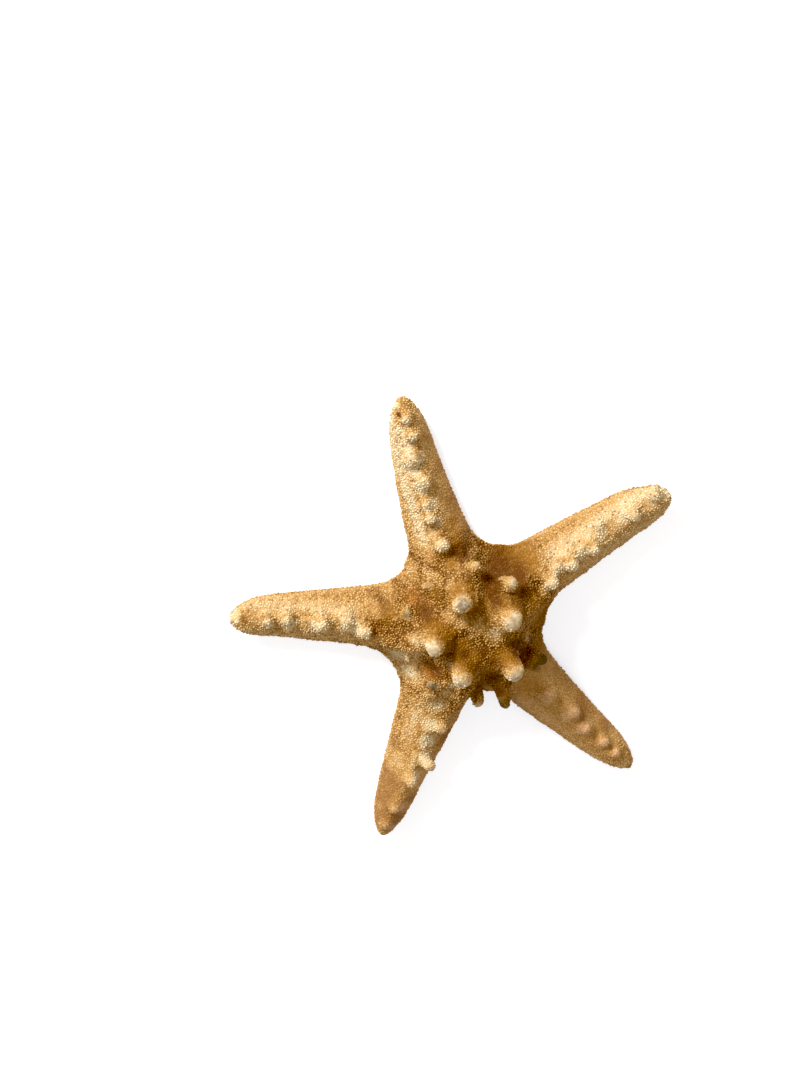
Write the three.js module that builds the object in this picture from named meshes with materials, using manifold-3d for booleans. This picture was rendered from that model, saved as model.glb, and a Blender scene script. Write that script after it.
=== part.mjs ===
// A dried knobby starfish, lying on its flat underside. It grew as one piece, so it is one closed solid:
// five tapering arms around a domed disc, a ring of blunt horns on the disc, a row of knobs along the crest
// of each arm, and underneath the mouth with a groove running out along every arm.
// Millimetres, +Z up. The origin is at the bottom centre of the bounding box.
import * as THREE from "three";
import { mergeVertices } from "three/addons/utils/BufferGeometryUtils.js";
import Module from "manifold-3d";

// Body heights
const MARGIN_Z = 2.8; // height of the widest line round the body
const DISC_Z = 17.5; // top of the domed disc
const ROOT_Z = 12.6; // crest of an arm, carried back to the centre
const END_Z = 6.4; // crest of an arm, carried out to its tip
const DISC_FLAT_R = 9; // the dome is level out to here
const DISC_FOOT_R = 21; // the dome has run out into the arm here

// Arms
const TIP_LIFT_LENGTH = 16; // the end of an arm curls up over this length
const WEB_POWER = 3.5; // how quickly the web between two arms runs out along their sides
const ROOT_LENGTH = 12; // an arm's crest is stretched by this near the disc, to keep abreast of the margin

// Underside. A pair is the size at the mouth and at an arm's tip.
const GROOVE_HALF_WIDTHS = [1.9, 0.9];
const GROOVE_DEPTHS = [2.2, 0.9];
const GROOVE_MOST = 0.55; // the groove takes no more than this share of an arm's underside
const GROOVE_SHOULDER = { across: 0.6, up: 0.8 }; // where its wall turns into its roof
const MOUTH_RADIUS = 3.6;
const MOUTH_DEPTH = 2.4; // above the roof of the grooves
const SOLE_SHARE = 0.72; // the flat sole reaches this share of the way from the middle line to the margin
const SIDE_SHARE = 0.93; // the side turns up between here and the margin
const SIDE_Z = 0.7;

// Every horn and knob stands on a low mound of the body. Its sizes are in proportion to the knob's radius.
const MOUND_HEIGHT = 0.5;
const MOUND_SPREAD = 1.75;
const RELIEF_FADE = 0.33; // mounds and hollows fade out over this share of the way, just inside the margin

// Outlines: [share of the radius, share of the height], from the flared foot to the blunt end
const HORN_OUTLINE = [
  [1.4, 0],
  [1.1, 0.28],
  [0.95, 0.66],
  [0.62, 0.92],
  [0, 1],
];
const KNOB_OUTLINE = [
  [1.2, 0],
  [0.9, 0.35],
  [0.74, 0.7],
  [0.42, 0.94],
  [0, 1],
];
const SINK = 2.4; // how far its foot reaches into the body

// Mesh
const STATIONS = 22; // steps along an arm
const TOP_STEPS = 7; // steps from the crest to the margin
const HORN_SIDES = 9;
const KNOB_SIDES = 6;
const HORN_RADIUS = 1.95; // from this radius up it is a horn
const MERGE = 1e-3; // points closer than this are one

// One arm each. heading is in degrees from +X, length is from the mouth to the tip, end is the length of its
// rounded end, widths are the half widths at the disc and at the tip, bow is how far the middle of the arm
// swings to its left, lift is how far the tip curls up. A knob is [distance from the mouth, offset to the
// left of the crest, radius, height, lean to the left in degrees].
const ARMS = [
  {
    heading: 92.2, length: 57.7, end: 11, widths: [8.1, 3.8], bow: 1.3, lift: 2.4,
    knobs: [
      [22.6, 0, 1.8, 2.4, 0],
      [29.1, 0.6, 1.4, 1.8, 0],
      [32.4, 0.7, 1.2, 1.2, 0],
      [37.8, -0.3, 1.6, 1.8, 0],
      [43.5, 0.8, 1.6, 1.8, 0],
      [48.9, -0.4, 1.4, 1.6, 0],
      [53.2, 0.1, 1.2, 1.3, 0],
    ],
  },
  {
    heading: 18.3, length: 55.1, end: 10, widths: [8.6, 4.7], bow: 0.4, lift: 2.4,
    knobs: [
      [21.0, -0.2, 1.9, 3.0, -14],
      [27.1, 0.7, 1.9, 3.0, -16],
      [33.1, 0.5, 1.7, 2.6, -16],
      [36.9, 3.2, 1.2, 1.2, 0],
      [45.2, 1.6, 1.7, 2.4, -12],
      [51.3, 2.5, 1.5, 2.0, 0],
    ],
  },
  {
    heading: -60.6, length: 57.6, end: 9.5, widths: [8.3, 3.7], bow: -1.1, lift: 1.0,
    knobs: [
      [25.6, 1.1, 1.8, 1.2, 0],
      [33.9, 2.2, 1.6, 1.6, 12],
      [39.3, 1.2, 1.4, 1.8, 12],
      [45.4, 1.4, 1.5, 1.7, 14],
      [49.9, 1.2, 1.3, 1.5, 14],
    ],
  },
  {
    heading: -124.2, length: 61, end: 10, widths: [8.8, 3.5], bow: -0.6, lift: 0.6,
    knobs: [
      [26.3, 2.4, 1.7, 2.2, 14],
      [36.4, 2.2, 1.8, 3.8, 30],
      [42.3, 0.6, 1.6, 2.2, 14],
      [50.7, -0.5, 1.3, 1.6, 8],
      [56.3, -0.9, 1.1, 1.1, 0],
    ],
  },
  {
    heading: 163.3, length: 56.2, end: 7.5, widths: [8.5, 4.2], bow: 0.3, lift: 2.2,
    knobs: [
      [25.1, 0.6, 1.7, 2.0, 0],
      [29.3, -1.6, 1.9, 2.0, 6],
      [34.9, -1.0, 1.7, 2.6, 8],
      [43.1, -1.6, 1.4, 2.2, 8],
      [47.4, -1.2, 1.3, 2.0, 8],
    ],
  },
];

// The webs between arms, the first between the first two of ARMS: [direction in degrees, distance from the
// mouth].
const WEBS = [
  [54, 19],
  [-23, 19],
  [-92, 21],
  [200, 22],
  [126, 20],
];

// Horns on the disc: [direction, distance from the mouth, radius, height, lean outwards in degrees].
const HORNS = [
  // the ring of five big blunt horns, one towards each arm
  [96, 10.2, 2.4, 6.0, 12],
  [27.5, 9.0, 3.0, 6.2, 12],
  [-54, 9.3, 2.7, 6.2, 22],
  [228, 7.5, 2.5, 6.2, 14],
  [163, 9.2, 2.7, 6.0, 14],
  // smaller ones round its shoulder
  [45, 13.0, 2.0, 5.0, 36],
  [75, 15.2, 1.6, 3.6, 40],
  [122, 15.2, 1.1, 1.8, 25],
  [145, 16.0, 1.3, 2.6, 20],
  [215.5, 15.0, 1.4, 2.8, 30],
  [190, 16.2, 1.1, 2.0, 40],
  // low ones that stand out sideways over the webs
  [260, 16.4, 2.0, 4.6, 70],
  [280, 17.0, 1.95, 3.6, 66],
  [318, 15.4, 1.5, 4.8, 66],
];

// Hollows between the horns: [direction, distance from the mouth, radius, depth].
const HOLLOWS = [
  [187, 4.5, 3.4, 0.9],
  [61, 9.5, 3, 1.2],
  [320, 12.5, 4, 1.8],
  [272, 12, 3.4, 1.8],
  [205, 12.5, 3.4, 1.8],
  [138, 13, 3.2, 1.2],
  [93, 19.5, 2.8, 1.0],
];

const radians = THREE.MathUtils.degToRad;
const lerp = THREE.MathUtils.lerp;
const smooth = THREE.MathUtils.smoothstep;
const UP = new THREE.Vector3(0, 0, 1);

function polar(direction, distance) {
  const a = radians(direction);
  return new THREE.Vector2(Math.cos(a) * distance, Math.sin(a) * distance);
}

// The point of the plan at distance u along the arm's curved axis and v to its left.
function onArm(arm, u, v) {
  const swing = arm.bow * Math.sin((Math.PI * u) / arm.length);
  const across = polar(arm.heading + 90, v + swing);
  return polar(arm.heading, u).add(across);
}

// 1 along the arm, falling to 0 at its tip as a quarter ellipse does.
function tipRound(arm, u) {
  const past = Math.max(0, u - (arm.length - arm.end)) / arm.end;
  return Math.sqrt(Math.max(0, 1 - past * past));
}

function tipLift(arm, u) {
  return arm.lift * smooth(u, arm.length - TIP_LIFT_LENGTH, arm.length) ** 1.5;
}

// The bay point between two arms, in the frame of one of them: distance along it and off its axis.
function bayOf(arm, web) {
  const away = Math.abs(radians(web[0] - arm.heading));
  const turned = Math.min(away, 2 * Math.PI - away);
  return { u: web[1] * Math.cos(turned), v: web[1] * Math.sin(turned), turned };
}

// Half width of the arm at distance u, web included. The web meets its own middle line at a right angle.
function halfWidth(arm, bay, u) {
  const straight = (x) => lerp(...arm.widths, (x - bay.u) / (arm.length - bay.u));
  const flare = bay.v - straight(bay.u);
  const reach = WEB_POWER * flare * Math.tan(bay.turned);
  const left = THREE.MathUtils.clamp(1 - (u - bay.u) / reach, 0, 1);
  return straight(u) * tipRound(arm, u) + flare * left ** WEB_POWER;
}

function crestZ(arm, u) {
  const along = lerp(ROOT_Z, END_Z, u / arm.length);
  const dome = (DISC_Z - ROOT_Z) * (1 - smooth(u, DISC_FLAT_R, DISC_FOOT_R));
  return along + dome;
}

// Cross sections from the crest (t = 0) to the margin (t = 1): a bell over the webs, a roof over the arms.
const bell = (t) => Math.cos((Math.PI / 2) * t ** 1.8) ** 2;
const roof = (t) => Math.max(0, 1 - t ** 1.5) ** 0.75;

// A direction that leans from straight up towards a direction of the plan.
function leaning(direction, degrees) {
  const flat = polar(direction, Math.sin(radians(degrees)));
  return new THREE.Vector3(flat.x, flat.y, Math.cos(radians(degrees)));
}

// Every horn and knob: its radius, height, place in the plan and direction.
const KNOBS = HORNS.map(([direction, distance, radius, height, lean]) => ({
  radius, height, place: polar(direction, distance), axis: leaning(direction, lean),
}));
for (const arm of ARMS) {
  for (const [u, v, radius, height, lean] of arm.knobs) {
    KNOBS.push({ radius, height, place: onArm(arm, u, v), axis: leaning(arm.heading + 90, lean) });
  }
}

const gaussian = (x) => Math.exp(-x * x);

// How far the body's top is raised at a point of the plan by the mounds under the knobs, less the hollows.
function reliefAt(point) {
  let relief = 0;
  for (const { radius, place } of KNOBS) {
    relief += MOUND_HEIGHT * radius * gaussian(point.distanceTo(place) / (MOUND_SPREAD * radius));
  }
  for (const [direction, distance, radius, deep] of HOLLOWS) {
    relief -= deep * gaussian(point.distanceTo(polar(direction, distance)) / radius);
  }
  return relief;
}

// 0 to 1 in even steps that grow shorter towards the end.
function easing(step, steps) {
  const even = step / steps;
  return (even + Math.sin((Math.PI / 2) * even)) / 2;
}

// A half arm lies between an arm's crest and the middle line of the web on one side (side = 1 is the left).
// Its station g, from 0 at the web's middle line to 1 at the tip, is a straight line in the plan from the
// crest to the margin. place(t, z) is the point at share t of that line, with the tip's rounding and curl.
function stationOf(arm, web, side, g) {
  const bay = bayOf(arm, web);
  const marginU = lerp(bay.u, arm.length, g);
  const crestU = arm.length * g + ROOT_LENGTH * g * (1 - g);
  const crest = g === 0 ? new THREE.Vector2() : onArm(arm, crestU, 0);
  const margin = g === 0 ? polar(...web) : onArm(arm, marginU, side * halfWidth(arm, bay, marginU));
  const plan = (t) => crest.clone().lerp(margin, t);
  const place = (t, z) => {
    const u = lerp(crestU, marginU, t);
    const rounded = MARGIN_Z + (z - MARGIN_Z) * tipRound(arm, u);
    return new THREE.Vector3(plan(t).x, plan(t).y, rounded + tipLift(arm, u));
  };
  return { g, crestU, width: crest.distanceTo(margin), plan, place };
}

function topLine(arm, { g, crestU, plan, place }) {
  const crestHeight = (g === 0 ? DISC_Z : crestZ(arm, crestU)) - MARGIN_Z;
  const overArm = smooth(g, 0, 0.4);
  const line = [];
  for (let j = 0; j <= TOP_STEPS; j++) {
    const t = easing(j, TOP_STEPS);
    const shape = lerp(bell(t), roof(t), overArm);
    const relief = reliefAt(plan(t)) * Math.min(1, (1 - t) / RELIEF_FADE);
    line.push(place(t, MARGIN_Z + crestHeight * shape + relief));
  }
  return line;
}

// From under the margin over the flat sole to the roof of the groove.
function underLine(arm, { crestU, width, place }) {
  const along = crestU / arm.length;
  const depth = lerp(...GROOVE_DEPTHS, along);
  const mouth = MOUTH_DEPTH * gaussian(crestU / MOUTH_RADIUS);
  const edge = Math.min(GROOVE_MOST, lerp(...GROOVE_HALF_WIDTHS, along) / Math.max(width, MERGE));
  return [
    place(SIDE_SHARE, SIDE_Z),
    place(SOLE_SHARE, 0),
    place(edge, 0),
    place(edge * GROOVE_SHOULDER.across, depth * GROOVE_SHOULDER.up),
    place(0, depth + mouth),
  ];
}

function halfArm(arm, web, side) {
  const lines = [];
  for (let i = 0; i <= STATIONS; i++) {
    const station = stationOf(arm, web, side, easing(i, STATIONS));
    lines.push([...topLine(arm, station), ...underLine(arm, station)]);
  }
  return lines;
}

// A closed geometry from lines of points. Points that meet are made one, and faces with no area are dropped.
function skin(patches) {
  const positions = [];
  for (const { lines, flip } of patches) {
    for (let i = 0; i + 1 < lines.length; i++) {
      for (let j = 0; j + 1 < lines[i].length; j++) {
        const [a, b, c, d] = [lines[i][j], lines[i + 1][j], lines[i + 1][j + 1], lines[i][j + 1]];
        const short = a.distanceTo(c) < b.distanceTo(d);
        const faces = short ? [[a, b, c], [a, c, d]] : [[a, b, d], [b, c, d]];
        for (const face of faces) {
          if (flip) face.reverse();
          for (const p of face) positions.push(p.x, p.y, p.z);
        }
      }
    }
  }
  const loose = new THREE.BufferGeometry();
  loose.setAttribute("position", new THREE.Float32BufferAttribute(positions, 3));
  return dropEmptyFaces(mergeVertices(loose, MERGE));
}

function dropEmptyFaces(geometry) {
  const index = geometry.index.array;
  const kept = [];
  for (let i = 0; i < index.length; i += 3) {
    const [a, b, c] = [index[i], index[i + 1], index[i + 2]];
    if (a !== b && b !== c && c !== a) kept.push(a, b, c);
  }
  geometry.setIndex(kept);
  return geometry;
}

function bodyGeometry() {
  const patches = [];
  ARMS.forEach((arm, i) => {
    const left = WEBS[(i + WEBS.length - 1) % WEBS.length];
    const right = WEBS[i];
    patches.push({ lines: halfArm(arm, left, 1), flip: false });
    patches.push({ lines: halfArm(arm, right, -1), flip: true });
  });
  return skin(patches);
}

// A knob round the Z axis, with its foot carried down into the body.
function knobGeometry(radius, height) {
  const isHorn = radius >= HORN_RADIUS;
  const shape = isHorn ? HORN_OUTLINE : KNOB_OUTLINE;
  const foot = shape[0][0] * radius;
  const outline = [new THREE.Vector2(0, -SINK), new THREE.Vector2(foot, -SINK)];
  for (const [r, h] of shape) outline.push(new THREE.Vector2(r * radius, h * height));
  const sides = isHorn ? HORN_SIDES : KNOB_SIDES;
  return new THREE.LatheGeometry(outline, sides).rotateX(Math.PI / 2);
}

const wasm = await Module();
wasm.setup();

function toSolid(geometry) {
  const bare = geometry.clone();
  bare.deleteAttribute("normal");
  bare.deleteAttribute("uv");
  const merged = dropEmptyFaces(mergeVertices(bare, MERGE));
  return new wasm.Manifold(new wasm.Mesh({
    numProp: 3,
    vertProperties: new Float32Array(merged.attributes.position.array),
    triVerts: new Uint32Array(merged.index.array),
  }));
}

function toGeometry(solid) {
  const mesh = solid.getMesh();
  const geometry = new THREE.BufferGeometry();
  geometry.setAttribute("position", new THREE.BufferAttribute(mesh.vertProperties, 3));
  geometry.setIndex(new THREE.BufferAttribute(mesh.triVerts, 1));
  return geometry;
}

function starfishGeometry() {
  const body = bodyGeometry();
  const surface = new THREE.Mesh(body, new THREE.MeshBasicMaterial());
  const down = new THREE.Raycaster();
  let solid = toSolid(body);
  for (const { radius, height, place, axis } of KNOBS) {
    down.set(new THREE.Vector3(place.x, place.y, 2 * DISC_Z), UP.clone().negate());
    const [hit] = down.intersectObject(surface);
    const turn = new THREE.Quaternion().setFromUnitVectors(UP, axis);
    const knob = knobGeometry(radius, height).applyQuaternion(turn);
    solid = solid.add(toSolid(knob.translate(hit.point.x, hit.point.y, hit.point.z)));
  }
  const geometry = toGeometry(solid);
  geometry.computeBoundingBox();
  const { min, max } = geometry.boundingBox;
  geometry.translate(-(min.x + max.x) / 2, -(min.y + max.y) / 2, -min.z);
  geometry.computeVertexNormals();
  return geometry;
}

const skinMaterial = new THREE.MeshStandardMaterial({ color: 0xc8914d, roughness: 0.9, metalness: 0 });

const starfish = new THREE.Mesh(starfishGeometry(), skinMaterial);
starfish.name = "starfish";

const group = new THREE.Group();
group.add(starfish);
export default group;
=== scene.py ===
"""The looks of a dried knobby starfish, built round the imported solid.

One skin is modelled from nearly the same sizes as the solid, with its horns and knobs grown into it. The
grains of the skin, the small spines beside the grooves underneath and the spines round the mouth are separate
small meshes. Lengths are in millimetres up to the moment a mesh is made, and are measured from the mouth.
"""
import itertools
import math

import bpy
import numpy as np
from mathutils import Matrix, Vector, noise


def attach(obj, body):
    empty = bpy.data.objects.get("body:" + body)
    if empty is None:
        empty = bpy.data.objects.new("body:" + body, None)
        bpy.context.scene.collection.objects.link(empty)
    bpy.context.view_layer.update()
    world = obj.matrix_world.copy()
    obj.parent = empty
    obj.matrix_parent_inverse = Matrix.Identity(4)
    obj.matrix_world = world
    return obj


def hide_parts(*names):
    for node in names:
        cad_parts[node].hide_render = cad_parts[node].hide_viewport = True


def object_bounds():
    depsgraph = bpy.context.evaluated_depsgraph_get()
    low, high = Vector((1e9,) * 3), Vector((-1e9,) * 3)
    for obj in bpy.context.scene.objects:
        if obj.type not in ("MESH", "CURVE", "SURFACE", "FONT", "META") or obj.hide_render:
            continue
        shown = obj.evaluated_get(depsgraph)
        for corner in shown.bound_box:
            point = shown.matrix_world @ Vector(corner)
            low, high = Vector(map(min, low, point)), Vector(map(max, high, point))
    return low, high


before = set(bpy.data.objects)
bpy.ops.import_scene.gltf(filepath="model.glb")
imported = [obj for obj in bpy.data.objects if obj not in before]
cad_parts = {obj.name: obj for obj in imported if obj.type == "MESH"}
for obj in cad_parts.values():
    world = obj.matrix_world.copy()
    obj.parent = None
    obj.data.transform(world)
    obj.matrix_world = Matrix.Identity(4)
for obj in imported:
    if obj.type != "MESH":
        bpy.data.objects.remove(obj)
cad_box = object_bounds()

MM = 0.001
MOUTH = np.array((0.758, -3.589, 0.0))  # where the mouth is in the frame
rng = np.random.default_rng(11)

# Body heights
MARGIN_Z = 2.8
DISC_Z = 17.5
ROOT_Z = 12.6
END_Z = 6.4
DISC_FLAT_R = 9
DISC_FOOT_R = 21

# Arms
TIP_LIFT_LENGTH = 16
WEB_POWER = 3.5
ROOT_LENGTH = 12
FLANK_START = 17  # how far from the mouth the looks of an arm's sides start

# Underside. A pair is the size at the mouth and at an arm's tip.
GROOVE_HALF_WIDTHS = (1.9, 0.9)
GROOVE_DEPTHS = (2.2, 0.9)
GROOVE_MOST = 0.55  # the most of a half arm's width that the groove takes
GROOVE_POWER = 3.15
MOUTH_RADIUS = 3.6
MOUTH_DEPTH = 2.4
SOLE_SHARE = 0.72

# Mounds under the horns and knobs
MOUND_HEIGHT = 0.5
MOUND_SPREAD = 1.75
RELIEF_FADE = 0.33  # they fade out over this share of the way, just inside the margin

# Horns and knobs
HORN_RADIUS = 1.95  # from this radius up it is a horn
SINK = 2.4  # how far a foot reaches into the body
DEEP_SINK = 4.8  # the same for horns on a steep side
DEEP_SINK_LEAN = 30  # horns that lean this far or further are on a steep side
HORN_SHANK = (0.84, 0.26, 2.1)  # share of the radius, how slowly the foot narrows, roundness of the end
KNOB_SHANK = (0.85, 0.35, 1.8)
SHANK_END = 0.6  # the share of the height where the round end starts
FLARE = 0.6  # of an upright knob's foot; the more it leans the less it flares
BURIED_FLARE = 0.66  # of the foot's buried edge
KNOB_RINGS = 14
KNOB_SIDES = 26
LIT_SIDE = 205  # the direction in degrees of the horns' palest side, towards which light is painted on them

# Each arm: heading in degrees, length, length of its rounded end, half widths at the disc and the tip, bow
# to the left and lift of the tip. bald is the share of a knob's height from which it has no grains, so knobs
# well over 1 keep theirs, and tan is how far the knobs are a pinkish tan in place of pale. pale is how pale
# the arm is all over. flanks are its sides: how pale the left and the right one are, which is painted light
# on the side the light falls on, and how free of grains.
# calm is how free of grains it is along it, as (distance from the mouth, share), joined by straight lines.
# A knob is (distance from the mouth, offset to the left, radius, height, lean to the left in degrees).
ARMS = [
    dict(
        heading=92.2, length=57.7, end=11, widths=(8.1, 3.8), bow=1.3, lift=2.4, bald=1.2, tan=0.0,
        pale=0.4, flanks=(1.0, 0.0, 0.1, 0.95), calm=[(0, 0)],
        knobs=[
            (22.6, 0, 1.8, 2.4, 0), (29.1, 0.6, 1.4, 1.8, 0), (32.4, 0.7, 1.2, 1.2, 0),
            (37.8, -0.3, 1.6, 1.8, 0), (43.5, 0.8, 1.6, 1.8, 0), (48.9, -0.4, 1.4, 1.6, 0),
            (53.2, 0.1, 1.2, 1.3, 0),
        ],
    ),
    dict(
        heading=18.3, length=55.1, end=10, widths=(8.6, 4.7), bow=0.4, lift=2.4, bald=1.0, tan=0.0,
        pale=0.65, flanks=(0.95, 0.5, 0.0, 0.6), calm=[(0, 0)],
        knobs=[
            (21.0, -0.2, 1.9, 3.0, -14), (27.1, 0.7, 1.9, 3.0, -16), (33.1, 0.5, 1.7, 2.6, -16),
            (36.9, 3.2, 1.2, 1.2, 0), (45.2, 1.6, 1.7, 2.4, -12), (51.3, 2.5, 1.5, 2.0, 0),
        ],
    ),
    dict(
        heading=-60.6, length=57.6, end=9.5, widths=(8.3, 3.7), bow=-1.1, lift=1.0, bald=1.5, tan=0.9,
        pale=0.2, flanks=(0.3, 0.35, 0.6, 0.4), calm=[(13, 0), (18, 0.85), (48, 0.85), (54, 0.5)],
        knobs=[
            (25.6, 1.1, 1.8, 1.2, 0), (33.9, 2.2, 1.6, 1.6, 12), (39.3, 1.2, 1.4, 1.8, 12),
            (45.4, 1.4, 1.5, 1.7, 14), (49.9, 1.2, 1.3, 1.5, 14),
        ],
    ),
    dict(
        heading=-124.2, length=61, end=10, widths=(8.8, 3.5), bow=-0.6, lift=0.6, bald=1.0, tan=0.35,
        pale=0.35, flanks=(0.2, 0.75, 0.6, 0.0), calm=[(32, 0), (40, 0.85), (62, 0.85)],
        knobs=[
            (26.3, 2.4, 1.7, 2.2, 14), (36.4, 2.2, 1.8, 3.8, 30), (42.3, 0.6, 1.6, 2.2, 14),
            (50.7, -0.5, 1.3, 1.6, 8), (56.3, -0.9, 1.1, 1.1, 0),
        ],
    ),
    dict(
        heading=163.3, length=56.2, end=7.5, widths=(8.5, 4.2), bow=0.3, lift=2.2, bald=1.0, tan=0.0,
        pale=0.6, flanks=(0.6, 0.8, 0.2, 0.0), calm=[(0, 0)],
        knobs=[
            (25.1, 0.6, 1.7, 2.0, 0), (29.3, -1.6, 1.9, 2.0, 6), (34.9, -1.0, 1.7, 2.6, 8),
            (43.1, -1.6, 1.4, 2.2, 8), (47.4, -1.2, 1.3, 2.0, 8),
        ],
    ),
]

# The webs between arms: (direction, distance from the mouth)
WEBS = [(54, 19), (-23, 19), (-92, 21), (200, 22), (126, 20)]

# Horns on the disc: (direction, distance from the mouth, radius, height, lean outwards), then their finish:
# the share of the height from which a horn is bald, how grey its cap is, and its olive brown, a painted
# shade.
HORNS = [
    (96, 10.2, 2.7, 6.0, 20, 0.84, 1.0, 0.0),
    (27.5, 9.0, 3.0, 6.2, 12, 0.84, 0.25, 0.0),
    (-54, 9.3, 2.8, 6.2, 22, 0.84, 0.45, 0.1),
    (228, 7.5, 2.85, 6.2, 14, 0.9, 0.5, 0.0),
    (163, 9.2, 2.7, 6.0, 14, 0.84, 0.2, 0.0),
    (45, 13.2, 2.2, 5.6, 34, 0.9, 0.15, 0.3),
    (75, 15.2, 1.6, 3.6, 40, 0.95, 0.2, 0.1),
    (122, 15.2, 1.1, 1.8, 25, 0.9, 0.0, 0.3),
    (145, 16.0, 1.3, 2.6, 20, 0.8, 0.4, 0.5),
    (215.5, 15.0, 1.4, 2.8, 30, 0.5, 1.0, 0.5),
    (190, 16.2, 1.1, 2.0, 40, 0.85, 0.5, 0.5),
    (260, 16.4, 2.1, 5.0, 70, 0.8, 0.1, 0.1),
    (277, 18.0, 1.9, 5.6, 84, 0.85, 0.1, 0.7),
    (318, 15.4, 1.9, 4.8, 66, 0.8, 0.1, 1.0),
]

# Hollows between the horns: (direction, distance from the mouth, radius, depth)
HOLLOWS = [
    (187, 4.5, 3.4, 0.9), (61, 9.5, 3, 1.2), (320, 12.5, 4, 1.8), (272, 12, 3.4, 1.8),
    (205, 12.5, 3.4, 1.8), (138, 13, 3.2, 1.2), (93, 19.5, 2.8, 1.0),
]

# Folds of the skin, too low for the solid: (from, to, half width, height, how pale it is)
FOLDS = [
    # on the disc, between the horns
    ((-0.1, 12.3), (7.3, 6.3), 1.6, 0.7, 0.35), ((-1.6, 16.7), (4.6, 16.6), 1.2, 0.5, 0.3),
    ((8.6, 5.2), (9.4, 9.0), 1.5, 1.0, 0.3), ((-2.3, 22.0), (-0.6, 14.0), 1.3, 0.4, 0.2),
    ((-8.8, 3.0), (-14.4, 3.6), 1.3, 0.5, 0.3), ((-4.6, -5.4), (-8.0, -3.2), 1.2, 0.4, 0.2),
    ((2.6, 4.6), (-4.6, 3.4), 1.2, 0.35, 0.0), ((1.4, 1.0), (4.6, -4.4), 1.2, 0.4, 0.0),
    # across arm B, up to its knobs
    ((18.3, 9.5), (20.3, 6.3), 1.0, 0.5, 0.6), ((23.2, 10.5), (25.8, 8.6), 1.0, 0.5, 0.6),
    ((30.0, 12.3), (31.8, 10.8), 1.0, 0.4, 0.5),
    # along arm C
    ((9.7, -20.2), (12.5, -23.3), 0.8, 0.45, 0.3), ((12.5, -23.3), (15.3, -28.3), 0.8, 0.5, 0.3),
    ((15.3, -28.3), (18.0, -31.4), 0.8, 0.5, 0.4), ((16.9, -25.9), (18.7, -29.6), 1.1, 0.4, 0.4),
    ((13.4, -20.4), (14.6, -23.4), 0.5, 0.2, 0.2),
    # along arm D
    ((-15.2, -16.6), (-13.4, -22.6), 0.9, 0.5, 0.5), ((-18.4, -18.6), (-17.0, -23.0), 0.8, 0.3, 0.3),
    ((-20.9, -28.3), (-23.4, -34.4), 0.9, 0.45, 0.7), ((-24.7, -29.9), (-23.9, -34.4), 0.9, 0.3, 0.6),
    ((-20.1, -28.4), (-18.6, -31.4), 1.0, 0.5, 0.6),
    # across arm E, down to its knobs
    ((-24.6, 9.6), (-24.3, 6.4), 0.9, 0.4, 0.5), ((-28.6, 11.4), (-28.3, 8.6), 1.0, 0.4, 0.5),
    ((-34.4, 12.6), (-33.6, 9.4), 1.0, 0.4, 0.6), ((-40.8, 14.6), (-40.5, 11.6), 0.8, 0.35, 0.6),
    ((-45.2, 15.6), (-44.9, 12.8), 0.8, 0.35, 0.6),
]

# Dents in the skin: (x, y, radius, depth)
DENTS = [
    (-50.6, 15.6, 1.4, 0.45), (-47.6, 14.6, 1.1, 0.45), (-43.0, 12.6, 1.1, 0.45), (-38.2, 11.2, 1.3, 0.45),
    (-31.2, 8.4, 1.4, 0.5), (-26.2, 7.4, 1.1, 0.35), (-21.6, 5.7, 1.5, 0.5), (22.9, 7.2, 1.3, 0.5),
    (28.8, 9.4, 1.4, 0.5), (35.2, 12.0, 1.5, 0.4), (41.0, 14.4, 1.4, 0.3), (-4.0, 54.0, 0.5, 0.5),
    (-2.2, 46.6, 1.2, 0.3), (-1.2, 40.6, 1.2, 0.3), (-2.4, 35.0, 1.0, 0.3), (-2.6, 26.2, 1.3, 0.3),
    (-16.4, -27.6, 1.3, 0.3), (-21.0, -33.0, 1.1, 0.5),
]
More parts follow.
